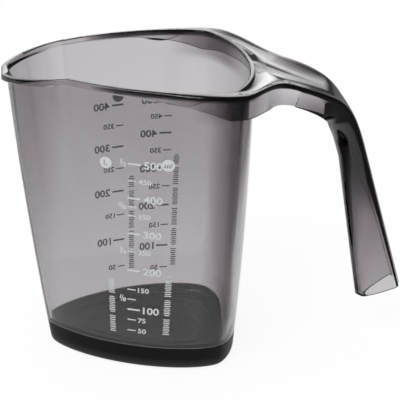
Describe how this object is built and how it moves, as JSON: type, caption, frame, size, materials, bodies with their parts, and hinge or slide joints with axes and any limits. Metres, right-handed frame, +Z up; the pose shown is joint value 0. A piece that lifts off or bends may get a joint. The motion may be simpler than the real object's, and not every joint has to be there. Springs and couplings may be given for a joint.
{
  "type": "measuring jug",
  "caption": "Clear smoke-grey measuring jug with a rounded-triangle plan, a flared pouring lip, a hollow drop-section handle that sweeps down from the rim and a black non-slip foot.",
  "frame": {"origin": "centre of the foot's underside, on the table", "axes": "+X from the pouring lip to the handle, +Y to the weight scales' side, +Z up"},
  "size_m": [0.1901, 0.0968, 0.1403],
  "materials": {
    "clear_smoke": "polished",
    "soft_black": "satin",
    "ink_white": "matte"
  },
  "bodies": {
    "root": {"jug_body": "clear_smoke", "non_slip_foot": "soft_black", "litre_marks": "ink_white", "millilitre_marks": "ink_white", "flour_marks": "ink_white", "sugar_marks": "ink_white"}
  },
  "joints": []
}
